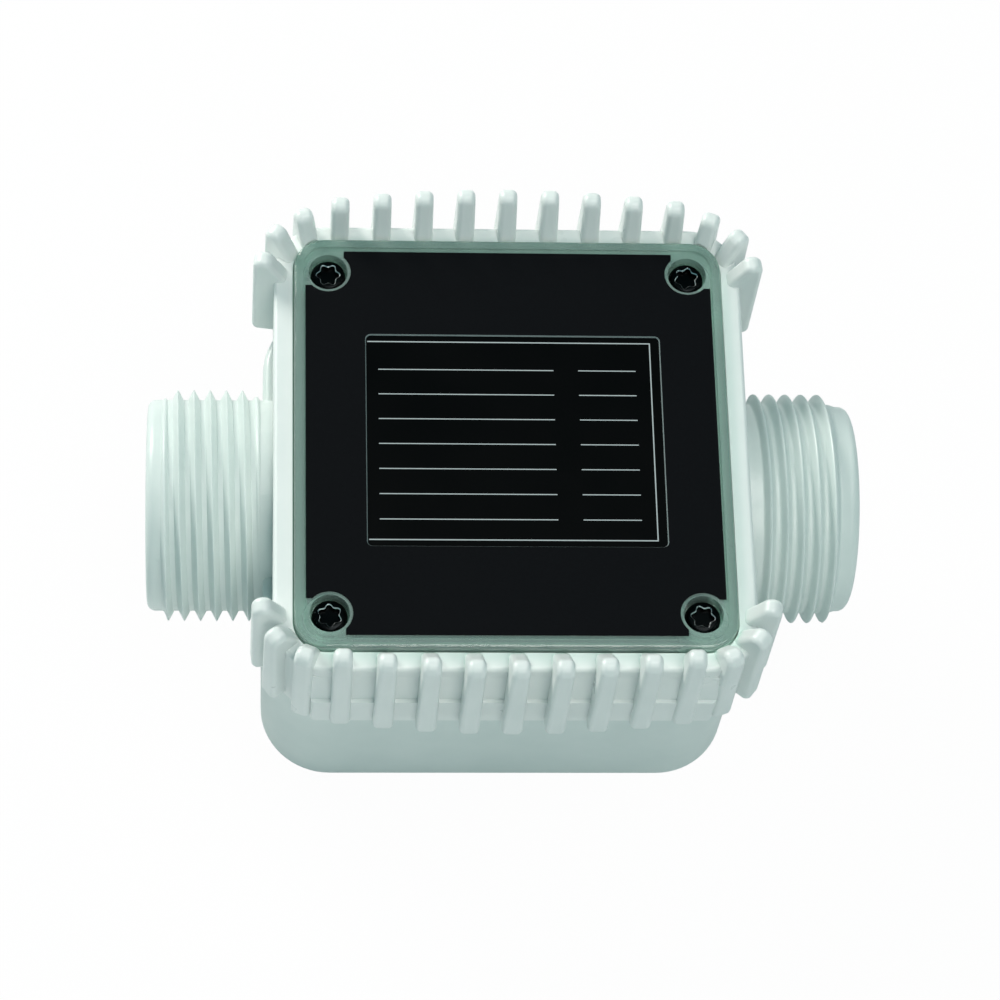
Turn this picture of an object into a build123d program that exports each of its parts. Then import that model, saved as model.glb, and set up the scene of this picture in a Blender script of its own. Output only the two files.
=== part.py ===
from build123d import *
from math import atan, cos, degrees, pi, radians, sin
import os

# Turbine flow meter: a moulded body with two threaded ports, a rotor in its flow bore, and a square
# head with a crown of fins under a clear, screwed lid.
#
# Millimetres. +X runs with the flow and +Z comes out of the lid. The origin is the centre of the flat
# base, under the middle of the flow axis.

# Flow axis, ports and bore
axis_height = 32.0
inlet_port_reach = 51.0
outlet_port_reach = 49.9
port_edge_radius = 1.2
neck_radius = 15.15
outlet_lead_radius = 14.85
thread_radius = 16.62
bare_neck_length = 0.5
inlet_lead_length = 1.9
outlet_lead_length = 2.1
inlet_bore_radius = 12.6
chamber_radius = 12.0
outlet_bore_radius = 11.0
bore_mouth_chamfer = 0.8
stack_inlet_seat = 9.0
stack_outlet_seat = 24.0

# Block under the head
block_length = 69.2
block_width = 58.4
block_rise = 6.0
block_corner_radius = 10.3
block_edge_radius = 1.0
block_base_edge_radius = 0.8

# Head: a frame that carries the fins and the lid, on a base with the floor and the arch over the pipe
head_rim_x = 2.85
head_rim_y = 2.8
head_corner_radius = 7.2
head_wall = 4.6
head_floor = 1.6
base_rim_height = 2.7
shoulder_edge_radius = 0.6
pad_thickness = 0.6
arch_thickness = 1.4
tunnel_clearance = 0.25
cavity_corner_radius = 2.0
flange_end_inset = 5.2
flange_stand_out = 1.45
flange_height = 6.6
flange_corner_radius = 0.8
wall_lean = 0.9
wall_lean_inset = 2.5

# Crown of fins: nine in a row on each long side and three round each corner
fin_row_count = 9
fin_pitch = 5.96
fin_stand_out = 4.9
fin_reach = 5.95
fin_row_bow = 1.55
fin_foot_draft = 0.5
fin_foot_thickness = 2.9
fin_side_taper = 0.5
fin_root_depth = 1.5
fin_tip_radius = 1.45
fin_foot_radius = 1.0
fin_edge_radius = 0.8
fan_inset_x = 7.2
fan_inset_y = 8.75
fan_base_radius = 5.4
fan_stand_out = 3.2
fan_reach = 4.75
fan_foot_draft = 0.1
fan_fin_count = 3
fan_first_angle = 20.0
fan_step_angle = 31.5

# Clear lid and what lies on it
lid_length = 60.7
lid_width = 62.7
lid_corner_radius = 4.4
lid_stand_out = 1.3
lid_thickness = 3.8
lid_edge_radius = 0.45
lid_rim_width = 1.3
lid_field_depth = 0.4
lid_clearance = 0.2
gasket_thickness = 0.6
gasket_clearance = 0.1
overlay_inset_x = 1.6
overlay_inset_y = 1.95
overlay_thickness = 0.25
overlay_corner_reach = 2.2
overlay_scallop_radius = 3.2
window_length = 41.6
window_width = 32.6
window_shift = 0.4
window_corner_radius = 0.8
label_overlap = 0.6
label_thickness = 0.25
label_clearance = 0.05

# Lid screws
lid_screw_inset_x = 4.82
lid_screw_inset_y = 5.15
lid_screw_head_radius = 2.3
lid_screw_head_height = 1.7
lid_screw_sink = 1.2
lid_screw_shank_radius = 1.25
lid_screw_length = 12.4
lid_screw_recess_radius = 1.25
lid_screw_recess_depth = 0.9
lid_well_clearance = 0.45
lid_boss_radius = 3.6
lid_hole_clearance = 0.45
screw_hole_clearance = 0.05
screw_hole_spare_depth = 0.4

# Head screws, from the head floor into the block
head_screw_spacing_x = 28.0
head_screw_inset_y = 6.7
head_screw_head_radius = 2.75
head_screw_head_height = 2.0
head_screw_shank_radius = 1.5
head_screw_length = 12.0
head_screw_hole_clearance = 0.2
pad_end_inset = 5.6
pad_inner_gap = 0.2
pad_outer_inset = 1.6

# Rotor and its bearings
rotor_hub_radius = 5.0
rotor_hub_length = 11.0
rotor_hub_edge_radius = 0.6
blade_count = 6
blade_axial_length = 9.0
blade_thickness = 1.1
blade_lead = 55.0
blade_root_sink = 0.7
blade_tip_clearance = 0.4
shaft_radius = 1.0
shaft_length = 19.2
shaft_clearance = 0.03
bush_radius = 2.5
bush_length = 4.0
rotor_end_clearance = 0.3
magnet_radius = 1.5
magnet_length = 2.4
magnet_sink = 0.25

# Vaned supports in the bore
support_hub_radius = 5.0
support_ring_wall = 1.3
support_fit_clearance = 0.04
support_nose_length = 6.0
support_nose_end_radius = 1.2
support_vane_thickness = 1.2
support_vane_inset = 1.0
bush_stand_out = 0.3
inlet_support_length = 16.0
inlet_hub_inset = 1.0
inlet_vane_count = 5
outlet_hub_inset = 1.0
outlet_vane_count = 4
ring_thickness = 1.2
ring_groove_depth = 0.8
ring_radial_width = 2.0
ring_clearance = 0.06
ring_gap_angle = 34.0

# Sensing parts above the flow bore
sensor_wall = 1.6
reed_radius = 0.9
reed_length = 12.0
reed_clearance = 0.05
reed_tray_wall = 1.2
reed_tray_space = 0.5
tray_clearance = 0.3
lead_radius = 0.25
lead_reach = 1.6
lead_bend_radius = 0.6
lead_hole_clearance = 0.1

# Circuit board and connector
board_thickness = 1.6
board_clearance = 0.6
board_arch_gap = 0.2
board_lid_gap = 0.4
board_boss_clearance = 0.6
post_inset_x = 7.6
post_inset_y = 9.05
post_radius = 2.0
post_pin_radius = 0.9
post_pin_clearance = 0.1
connector_length = 9.0
connector_width = 6.5
connector_height = 5.8
connector_wall = 0.9
connector_inset = 7.75
connector_pin_radius = 0.4
connector_pin_pitch = 3.5
connector_pin_reach = 3.6
connector_pin_clearance = 0.05

# Cable inlet in the hidden side
inlet_rise = 3.8
inlet_boss_radius = 3.8
inlet_boss_stand_out = 0.8
inlet_boss_clearance = 0.1
grommet_sleeve_radius = 2.3
grommet_flange_radius = 3.6
grommet_flange_thickness = 0.8
grommet_bore_radius = 1.5
grommet_edge_radius = 0.3

# Heights and half sizes that follow from the values above
thread_inner_end = block_length / 2 + bare_neck_length
inlet_thread_outer_end = inlet_port_reach - inlet_lead_length
outlet_thread_outer_end = outlet_port_reach - outlet_lead_length
block_height = axis_height + block_rise
head_bottom = block_height + pad_thickness
floor_top = head_bottom + head_floor
parting_height = head_bottom + base_rim_height
tunnel_radius = neck_radius + tunnel_clearance
arch_radius = tunnel_radius + arch_thickness
arch_top = axis_height + arch_radius
board_bottom = arch_top + board_arch_gap
board_top = board_bottom + board_thickness
lid_bottom = board_top + board_lid_gap
lid_top = lid_bottom + lid_thickness
shoulder_height = lid_top - lid_stand_out
wall_lean_top = shoulder_height - wall_lean_inset
fin_peak_height = lid_top + fin_stand_out
fan_peak_height = lid_top + fan_stand_out
inlet_axis_height = head_bottom + inlet_rise
ledge_height = lid_bottom - gasket_thickness
field_height = lid_top - lid_field_depth
screw_head_top = lid_top - lid_screw_sink
screw_seat_height = screw_head_top - lid_screw_head_height
head_length = lid_length + 2 * head_rim_x
head_width = lid_width + 2 * head_rim_y
flange_length = head_length - 2 * flange_end_inset
flange_width = head_width + 2 * flange_stand_out
inlet_boss_reach = flange_width / 2 + inlet_boss_stand_out
fan_centre_x = head_length / 2 - fan_inset_x
fan_centre_y = head_width / 2 - fan_inset_y
cavity_length = head_length - 2 * head_wall
cavity_width = head_width - 2 * head_wall
post_spacing_x = cavity_length - 2 * post_inset_x
post_spacing_y = cavity_width - 2 * post_inset_y
connector_centre_y = cavity_width / 2 - connector_inset
head_screw_spacing_y = block_width - 2 * head_screw_inset_y
pad_length = block_length - 2 * pad_end_inset
pad_inner_edge = tunnel_radius + pad_inner_gap
pad_outer_edge = block_width / 2 - pad_outer_inset
overlay_length = lid_length - 2 * overlay_inset_x
overlay_width = lid_width - 2 * overlay_inset_y
lid_screw_spacing_x = lid_length - 2 * lid_screw_inset_x
lid_screw_spacing_y = lid_width - 2 * lid_screw_inset_y
recess_length = lid_length + 2 * lid_clearance
recess_width = lid_width + 2 * lid_clearance
recess_corner_radius = lid_corner_radius + lid_clearance
label_length = window_length + 2 * label_overlap
label_width = window_width + 2 * label_overlap
lid_screw_hole_radius = lid_screw_shank_radius + screw_hole_clearance
head_screw_hole_radius = head_screw_shank_radius + screw_hole_clearance
rotor_tip_radius = chamber_radius - blade_tip_clearance
rotor_half_length = rotor_hub_length / 2
bush_face = rotor_half_length + rotor_end_clearance
support_hub_face = bush_face + bush_stand_out
reed_tray_bottom = axis_height + chamber_radius + sensor_wall + tray_clearance
reed_height = reed_tray_bottom + reed_tray_wall + reed_clearance + reed_radius
reed_tray_length = reed_length + 2 * (lead_reach + reed_tray_space)
reed_tray_width = 2 * (reed_radius + reed_tray_space)
lead_place = reed_length / 2 + lead_reach

flow_axis = Axis((0, 0, axis_height), (1, 0, 0))
flow_section = Plane(origin=(0, 0, axis_height), x_dir=(1, 0, 0), z_dir=(0, -1, 0))


def across(x):
    """Plane square to the flow at x, with its own axes along +Y and +Z."""
    return Plane(origin=(x, 0, axis_height), x_dir=(0, 1, 0), z_dir=(1, 0, 0))


def facing_back(y, z):
    """Plane on the hidden +Y side, square to +Y, at the middle of the object."""
    return Plane(origin=(0, y, z), x_dir=(-1, 0, 0), z_dir=(0, 1, 0))


os.makedirs("parts", exist_ok=True)

# Turbine body: one moulding with the block, both ports and the stepped flow bore
thread_depth = thread_radius - neck_radius
stack_inlet_end = stack_inlet_seat + inlet_support_length
ring_groove_end = stack_inlet_end + ring_thickness + ring_clearance
sensor_pocket_length = reed_tray_length + 2 * (reed_tray_wall + tray_clearance)
sensor_pocket_width = reed_tray_width + 2 * (reed_tray_wall + tray_clearance)

with BuildPart() as turbine_body:
    with BuildSketch(Plane.XY):
        RectangleRounded(block_length, block_width, block_corner_radius)
    extrude(amount=block_height)
    fillet(turbine_body.faces().sort_by(Axis.Z)[-1].edges(), block_edge_radius)
    fillet(turbine_body.faces().sort_by(Axis.Z)[0].edges(), block_base_edge_radius)
    with BuildSketch(flow_section):
        with BuildLine():
            Polyline(
                (0, neck_radius),
                (thread_inner_end, neck_radius),
                (thread_inner_end + thread_depth, thread_radius),
                (outlet_thread_outer_end - thread_depth, thread_radius),
                (outlet_thread_outer_end, outlet_lead_radius),
                (outlet_port_reach, outlet_lead_radius),
                (outlet_port_reach, 0),
                (-inlet_port_reach, 0),
                (-inlet_port_reach, neck_radius),
                (-inlet_thread_outer_end, neck_radius),
                (-inlet_thread_outer_end + thread_depth, thread_radius),
                (-thread_inner_end - thread_depth, thread_radius),
                (-thread_inner_end, neck_radius),
                (0, neck_radius),
            )
        make_face()
    revolve(axis=flow_axis)
    port_edges = turbine_body.edges().filter_by(GeomType.CIRCLE).group_by(Axis.X)
    fillet(port_edges[0] + port_edges[-1], port_edge_radius)
    with BuildSketch(flow_section):
        with BuildLine():
            Polyline(
                (-inlet_port_reach, 0),
                (-inlet_port_reach, inlet_bore_radius + bore_mouth_chamfer),
                (-inlet_port_reach + bore_mouth_chamfer, inlet_bore_radius),
                (-ring_groove_end, inlet_bore_radius),
                (-ring_groove_end, inlet_bore_radius + ring_groove_depth),
                (-stack_inlet_end, inlet_bore_radius + ring_groove_depth),
                (-stack_inlet_end, inlet_bore_radius),
                (-stack_inlet_seat, inlet_bore_radius),
                (-stack_inlet_seat, chamber_radius),
                (stack_outlet_seat, chamber_radius),
                (stack_outlet_seat, outlet_bore_radius),
                (outlet_port_reach - bore_mouth_chamfer, outlet_bore_radius),
                (outlet_port_reach, outlet_bore_radius + bore_mouth_chamfer),
                (outlet_port_reach, 0),
                (-inlet_port_reach, 0),
            )
        make_face()
    revolve(axis=flow_axis, mode=Mode.SUBTRACT)
    with BuildSketch(Plane.XY.offset(axis_height + chamber_radius + sensor_wall)):
        Rectangle(sensor_pocket_length, sensor_pocket_width)
    extrude(amount=neck_radius, mode=Mode.SUBTRACT)
    with Locations(Plane.XY.offset(block_height)):
        with GridLocations(head_screw_spacing_x, head_screw_spacing_y, 2, 2):
            Hole(head_screw_hole_radius, depth=head_screw_length - head_floor + screw_hole_spare_depth)

turbine_body.part.label = "turbine_body"
export_step(turbine_body.part, "parts/turbine_body.step")

# Head base: floor of the head, with a low rim, the arch over the pipe and the posts for the board
arch_width = 2 * arch_radius

with BuildPart() as head_base:
    with BuildSketch(Plane.XY.offset(head_bottom)):
        RectangleRounded(head_length, head_width, head_corner_radius)
        RectangleRounded(flange_length, flange_width, flange_corner_radius)
    extrude(amount=base_rim_height)
    with BuildSketch(Plane.XY.offset(floor_top)):
        RectangleRounded(cavity_length, cavity_width, cavity_corner_radius)
    extrude(amount=base_rim_height - head_floor, mode=Mode.SUBTRACT)
    with BuildSketch(across(-cavity_length / 2)):
        Circle(arch_radius)
        with Locations((0, head_bottom - axis_height - arch_radius)):
            Rectangle(2 * arch_width, 2 * arch_radius, mode=Mode.SUBTRACT)
    extrude(amount=cavity_length)
    with BuildSketch(across(-head_length / 2)):
        Circle(tunnel_radius)
    extrude(amount=head_length, mode=Mode.SUBTRACT)
    # Tray in the arch that holds the reed switch close to the rotor
    with BuildSketch(Plane.XY.offset(reed_tray_bottom)):
        Rectangle(reed_tray_length + 2 * reed_tray_wall, reed_tray_width + 2 * reed_tray_wall)
    extrude(amount=arch_top - reed_tray_bottom)
    with BuildSketch(Plane.XY.offset(reed_tray_bottom + reed_tray_wall)):
        Rectangle(reed_tray_length, reed_tray_width)
    extrude(amount=ledge_height - reed_tray_bottom - reed_tray_wall, mode=Mode.SUBTRACT)
    # Pads under the frame's bosses, and posts with pins for the board
    with BuildSketch(Plane.XY.offset(floor_top)):
        with GridLocations(lid_screw_spacing_x, lid_screw_spacing_y, 2, 2):
            Circle(lid_boss_radius)
    extrude(amount=parting_height - floor_top)
    with BuildSketch(Plane.XY.offset(floor_top)):
        with GridLocations(post_spacing_x, post_spacing_y, 2, 2):
            Circle(post_radius)
    extrude(amount=board_bottom - floor_top)
    with BuildSketch(Plane.XY.offset(board_bottom)):
        with GridLocations(post_spacing_x, post_spacing_y, 2, 2):
            Circle(post_pin_radius)
    extrude(amount=board_thickness)
    # Screw holes, and a notch for the cable inlet
    lid_screw_end = screw_seat_height - lid_screw_length
    with Locations(Plane.XY.offset(parting_height)):
        with GridLocations(lid_screw_spacing_x, lid_screw_spacing_y, 2, 2):
            Hole(lid_screw_hole_radius, depth=parting_height - lid_screw_end + screw_hole_spare_depth)
    with Locations(Plane.XY.offset(floor_top)):
        with GridLocations(head_screw_spacing_x, head_screw_spacing_y, 2, 2):
            Hole(head_screw_shank_radius + head_screw_hole_clearance, depth=head_floor)
    with BuildSketch(facing_back(flange_width / 2, inlet_axis_height)):
        Circle(inlet_boss_radius + inlet_boss_clearance)
    extrude(amount=(cavity_width - flange_width) / 2, mode=Mode.SUBTRACT)

head_base.part.label = "head_base"
export_step(head_base.part, "parts/head_base.step")


# Head frame: walls that carry the lid, with the crown of fins moulded on
def make_fin(reach, foot_reach, peak_height):
    """One finger-shaped fin that stands out along +Y from its base, from the head's foot to its peak."""
    with BuildPart(mode=Mode.PRIVATE) as fin:
        with BuildSketch(Plane.YZ):
            with BuildLine():
                Polyline((0, shoulder_height), (0, head_bottom), (foot_reach, head_bottom))
                CenterArc((reach - fin_tip_radius, peak_height - fin_tip_radius), fin_tip_radius, 0, 360)
            make_hull()
            with Locations((-fin_root_depth / 2, (head_bottom + shoulder_height) / 2)):
                Rectangle(fin_root_depth, shoulder_height - head_bottom)
        extrude(amount=fin_foot_thickness, both=True)
        with BuildSketch(Plane.XY.offset(head_bottom)):
            Rectangle(fin_foot_thickness, 4 * foot_reach)
        extrude(amount=peak_height - head_bottom, taper=fin_side_taper, mode=Mode.INTERSECT)
        foot = fin.edges().filter_by(Axis.X).filter_by(lambda edge: edge.center().Z < head_bottom + 0.01)
        fillet(foot.sort_by(Axis.Y)[-1], fin_foot_radius)
        sides = fin.faces().filter_by(lambda face: abs(face.normal_at().X) > 0.9)
        rims = sides.edges().filter_by(lambda edge: edge.center().Y > 0.01)
        fillet(rims.filter_by(lambda edge: edge.center().Z > head_bottom + 0.01), fin_edge_radius)
    return fin.part


with BuildPart() as head_frame:
    with BuildSketch(Plane.XY.offset(parting_height)):
        RectangleRounded(head_length, head_width, head_corner_radius)
    extrude(amount=shoulder_height - parting_height)
    fillet(head_frame.faces().sort_by(Axis.Z)[-1].edges(), shoulder_edge_radius)
    with BuildSketch(Plane.XY.offset(parting_height)):
        RectangleRounded(flange_length, flange_width, flange_corner_radius)
    extrude(amount=flange_height - base_rim_height)
    with BuildSketch(Plane.YZ):
        Polygon(
            (-head_width / 2, wall_lean_top),
            (-head_width / 2 - wall_lean, head_bottom + flange_height),
            (head_width / 2 + wall_lean, head_bottom + flange_height),
            (head_width / 2, wall_lean_top),
            align=None,
        )
    extrude(amount=flange_length / 2, both=True)
    # Rows of fins on the long sides, on a shallow bow
    row_half = (fin_row_count - 1) / 2
    for place in range(fin_row_count):
        offset_share = (place - row_half) / row_half
        reach = fin_reach - fin_row_bow * offset_share**2
        row_fin = make_fin(reach, reach + fin_foot_draft, fin_peak_height)
        x = (place - row_half) * fin_pitch
        with Locations(
            Location((x, recess_width / 2, 0)), Location((x, -recess_width / 2, 0), (0, 0, 180))
        ):
            add(row_fin)
    # Fans of fins round the corners
    corner_fin = make_fin(fan_reach, fan_reach + fan_foot_draft, fan_peak_height)
    for corner_x, corner_y in ((1, 1), (-1, 1), (1, -1), (-1, -1)):
        for step in range(fan_fin_count):
            angle = radians(fan_first_angle + step * fan_step_angle)
            x = corner_x * (fan_centre_x + fan_base_radius * sin(angle))
            y = corner_y * (fan_centre_y + fan_base_radius * cos(angle))
            turn = -corner_x * corner_y * degrees(angle) + (0 if corner_y > 0 else 180)
            with Locations(Location((x, y, 0), (0, 0, turn))):
                add(corner_fin)
    # Room for the base between the feet of the fins
    with BuildSketch(Plane.XY.offset(head_bottom)):
        RectangleRounded(head_length, head_width, head_corner_radius)
        RectangleRounded(flange_length, flange_width, flange_corner_radius)
    extrude(amount=base_rim_height, mode=Mode.SUBTRACT)
    # Recess for the lid, cavity for the board, and the ends of the tunnel for the pipe
    with BuildSketch(Plane.XY.offset(ledge_height)):
        RectangleRounded(recess_length, recess_width, recess_corner_radius)
    extrude(amount=fin_peak_height - ledge_height, mode=Mode.SUBTRACT)
    with BuildSketch(Plane.XY.offset(parting_height)):
        RectangleRounded(cavity_length, cavity_width, cavity_corner_radius)
    extrude(amount=ledge_height - parting_height, mode=Mode.SUBTRACT)
    with BuildSketch(across(-head_length / 2)):
        Circle(tunnel_radius)
    extrude(amount=head_length, mode=Mode.SUBTRACT)
    # Bosses that the lid screws pass through
    with BuildSketch(Plane.XY.offset(parting_height)):
        with GridLocations(lid_screw_spacing_x, lid_screw_spacing_y, 2, 2):
            Circle(lid_boss_radius)
    extrude(amount=lid_bottom - parting_height)
    with Locations(Plane.XY.offset(lid_bottom)):
        with GridLocations(lid_screw_spacing_x, lid_screw_spacing_y, 2, 2):
            Hole(lid_screw_hole_radius, depth=lid_bottom - parting_height)
    # Cable inlet on the hidden side
    with BuildSketch(facing_back(inlet_boss_reach, inlet_axis_height)):
        Circle(inlet_boss_radius)
    extrude(amount=cavity_width / 2 - inlet_boss_reach)
    with BuildSketch(facing_back(inlet_boss_reach, inlet_axis_height)):
        Circle(grommet_flange_radius)
    extrude(amount=head_width / 2, mode=Mode.SUBTRACT)
    with BuildSketch(facing_back(inlet_boss_reach, inlet_axis_height)):
        Circle(grommet_sleeve_radius)
    extrude(amount=cavity_width / 2 - inlet_boss_reach, mode=Mode.SUBTRACT)

head_frame.part.label = "head_frame"
export_step(head_frame.part, "parts/head_frame.step")

# Saddle pads: two flat rubber pads between the head and the block, one each side of the pipe
with BuildPart() as saddle_pads:
    with BuildSketch(Plane.XY.offset(block_height)):
        with GridLocations(0, pad_inner_edge + pad_outer_edge, 1, 2):
            Rectangle(pad_length, pad_outer_edge - pad_inner_edge)
        with GridLocations(head_screw_spacing_x, head_screw_spacing_y, 2, 2):
            Circle(head_screw_shank_radius + head_screw_hole_clearance, mode=Mode.SUBTRACT)
    extrude(amount=pad_thickness)

saddle_pads.part.label = "saddle_pads"
export_step(saddle_pads.part, "parts/saddle_pads.step")

# Head screws: four pan heads on the head floor, shanks down into the block
with BuildPart() as head_screws:
    with BuildSketch(Plane.XY.offset(floor_top)):
        with GridLocations(head_screw_spacing_x, head_screw_spacing_y, 2, 2):
            Circle(head_screw_head_radius)
    extrude(amount=head_screw_head_height)
    with BuildSketch(Plane.XY.offset(floor_top)):
        with GridLocations(head_screw_spacing_x, head_screw_spacing_y, 2, 2):
            Circle(head_screw_shank_radius)
    extrude(amount=-head_screw_length)

head_screws.part.label = "head_screws"
export_step(head_screws.part, "parts/head_screws.step")


# Vaned supports: a ring in the bore, straight vanes, and a hub that holds the bearing bush
def make_support(ring_radius, ring_start, ring_end, nose_end, vane_count):
    """A vaned support whose hub faces the rotor, drawn along +X with the rotor at the origin."""
    ring_inner = ring_radius - support_ring_wall
    with BuildPart(mode=Mode.PRIVATE) as support:
        with BuildSketch(flow_section):
            with BuildLine():
                Line((support_hub_face, 0), (support_hub_face, support_hub_radius))
                Line((support_hub_face, support_hub_radius), (nose_end - support_nose_length, support_hub_radius))
                nose = Spline(
                    (nose_end - support_nose_length, support_hub_radius),
                    (nose_end, support_nose_end_radius),
                    tangents=[(1, 0), (0.35, -1)],
                )
                Line(nose @ 1, (nose_end, 0))
                Line((nose_end, 0), (support_hub_face, 0))
            make_face()
        revolve(axis=flow_axis)
        with BuildSketch(across(ring_start)):
            Circle(ring_radius)
            Circle(ring_inner, mode=Mode.SUBTRACT)
        extrude(amount=ring_end - ring_start)
        vane_middle = (support_hub_radius + ring_inner) / 2
        vane_height = ring_inner - support_hub_radius + support_ring_wall
        with BuildSketch(across(ring_start + support_vane_inset)):
            with PolarLocations(vane_middle, vane_count, start_angle=90):
                Rectangle(vane_height, support_vane_thickness)
        extrude(amount=nose_end - support_nose_length - ring_start - support_vane_inset)
        with BuildSketch(across(support_hub_face)):
            Circle(bush_radius)
        extrude(amount=bush_length - bush_stand_out, mode=Mode.SUBTRACT)
    return support.part


inlet_support = make_support(
    inlet_bore_radius - support_fit_clearance,
    stack_inlet_seat,
    stack_inlet_end,
    stack_inlet_end - inlet_hub_inset,
    inlet_vane_count,
)
with BuildPart() as inlet_straightener:
    add(inlet_support.mirror(Plane.YZ))

inlet_straightener.part.label = "inlet_straightener"
export_step(inlet_straightener.part, "parts/inlet_straightener.step")

with BuildPart() as outlet_support:
    add(
        make_support(
            chamber_radius - support_fit_clearance,
            stack_inlet_seat,
            stack_outlet_seat,
            stack_outlet_seat - outlet_hub_inset,
            outlet_vane_count,
        )
    )

outlet_support.part.label = "outlet_support"
export_step(outlet_support.part, "parts/outlet_support.step")

# Retaining ring: split ring in the groove in front of the inlet straightener
with BuildPart() as retaining_ring:
    with BuildSketch(across(-stack_inlet_end)):
        Circle(inlet_bore_radius + ring_groove_depth - ring_clearance)
        Circle(inlet_bore_radius + ring_groove_depth - ring_clearance - ring_radial_width, mode=Mode.SUBTRACT)
        with BuildLine():
            gap_reach = 2 * inlet_bore_radius
            left = Line((0, 0), (gap_reach * sin(radians(-ring_gap_angle / 2)), -gap_reach))
            right = Line(left @ 1, (gap_reach * sin(radians(ring_gap_angle / 2)), -gap_reach))
            Line(right @ 1, (0, 0))
        make_face(mode=Mode.SUBTRACT)
    extrude(amount=-ring_thickness)

retaining_ring.part.label = "retaining_ring"
export_step(retaining_ring.part, "parts/retaining_ring.step")

# Bearing bushes: plain bushes pressed into the support hubs, a little proud of them
with BuildPart() as outlet_bush:
    with BuildSketch(across(bush_face)):
        Circle(bush_radius)
        Circle(shaft_radius + shaft_clearance, mode=Mode.SUBTRACT)
    extrude(amount=bush_length)

outlet_bush.part.label = "outlet_bush"
export_step(outlet_bush.part, "parts/outlet_bush.step")

with BuildPart() as inlet_bush:
    with BuildSketch(across(-bush_face)):
        Circle(bush_radius)
        Circle(shaft_radius + shaft_clearance, mode=Mode.SUBTRACT)
    extrude(amount=-bush_length)

inlet_bush.part.label = "inlet_bush"
export_step(inlet_bush.part, "parts/inlet_bush.step")

# Rotor blade: drawn with the flow along +Z and the radius along +X. The blade's angle grows with the
# radius, so that every radius has the same lead.
blade_sections = (rotor_hub_radius - blade_root_sink, (rotor_hub_radius + chamber_radius) / 2, chamber_radius)


def blade_angle(radius):
    """Angle between the blade and the flow at a radius, for the blade's one lead."""
    return atan(2 * pi * radius / blade_lead)


with BuildPart(mode=Mode.PRIVATE) as rotor_blade:
    for radius in blade_sections:
        angle = blade_angle(radius)
        section_plane = Plane(origin=(radius, 0, 0), x_dir=(0, sin(angle), cos(angle)), z_dir=(1, 0, 0))
        with BuildSketch(section_plane):
            SlotOverall(blade_axial_length / cos(angle), blade_thickness)
    loft()
    Cylinder(rotor_tip_radius, 2 * blade_axial_length, mode=Mode.INTERSECT)

# Rotor: hub with its ring of helical blades, bored for the shaft and the magnets
with BuildPart() as rotor:
    with BuildSketch(across(-rotor_half_length)):
        Circle(rotor_hub_radius)
    extrude(amount=rotor_hub_length)
    fillet(rotor.edges().filter_by(GeomType.CIRCLE), rotor_hub_edge_radius)
    with Locations(across(0)):
        with PolarLocations(0, blade_count):
            add(rotor_blade.part)
    with BuildSketch(across(-rotor_half_length)):
        Circle(shaft_radius)
    extrude(amount=rotor_hub_length, mode=Mode.SUBTRACT)
    magnet_outer = rotor_hub_radius - magnet_sink
    for side in (1, -1):
        with BuildSketch(Plane.XY.offset(axis_height + side * (magnet_outer - magnet_length))):
            Circle(magnet_radius)
        extrude(amount=side * rotor_hub_radius, mode=Mode.SUBTRACT)

rotor.part.label = "rotor"
export_step(rotor.part, "parts/rotor.step")

# Rotor magnets: two short pins, one each side of the shaft
with BuildPart() as rotor_magnets:
    for side in (1, -1):
        with BuildSketch(Plane.XY.offset(axis_height + side * (magnet_outer - magnet_length))):
            Circle(magnet_radius)
        extrude(amount=side * magnet_length)

rotor_magnets.part.label = "rotor_magnets"
export_step(rotor_magnets.part, "parts/rotor_magnets.step")

# Rotor shaft: ground steel pin pressed through the rotor, its ends in the bushes
with BuildPart() as rotor_shaft:
    with BuildSketch(across(-shaft_length / 2)):
        Circle(shaft_radius)
    extrude(amount=shaft_length)
    chamfer(rotor_shaft.edges().filter_by(GeomType.CIRCLE), shaft_clearance * 5)

rotor_shaft.part.label = "rotor_shaft"
export_step(rotor_shaft.part, "parts/rotor_shaft.step")

# Reed switch: sealed glass capsule in the tray over the rotor
with BuildPart() as reed_switch:
    with BuildSketch(Plane(origin=(-reed_length / 2, 0, reed_height), x_dir=(0, 1, 0), z_dir=(1, 0, 0))):
        Circle(reed_radius)
    extrude(amount=reed_length)
    fillet(reed_switch.edges().filter_by(GeomType.CIRCLE), reed_radius / 2)

reed_switch.part.label = "reed_switch"
export_step(reed_switch.part, "parts/reed_switch.step")

# Reed leads: a wire from each end of the capsule, bent up through the board
with BuildPart() as reed_leads:
    with BuildLine(Plane(origin=(0, 0, reed_height), x_dir=(1, 0, 0), z_dir=(0, -1, 0))):
        lead_path = FilletPolyline(
            (reed_length / 2, 0),
            (lead_place, 0),
            (lead_place, board_top - reed_height),
            radius=lead_bend_radius,
        )
    with BuildSketch(Plane(origin=(reed_length / 2, 0, reed_height), x_dir=(0, 1, 0), z_dir=(1, 0, 0))):
        Circle(lead_radius)
    sweep(path=lead_path)
    mirror(about=Plane.YZ)

reed_leads.part.label = "reed_leads"
export_step(reed_leads.part, "parts/reed_leads.step")

# Circuit board: notched round the screw bosses, on the four posts
pin_hole_y = connector_centre_y + connector_width / 2 - connector_wall - connector_pin_radius * 2

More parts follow.
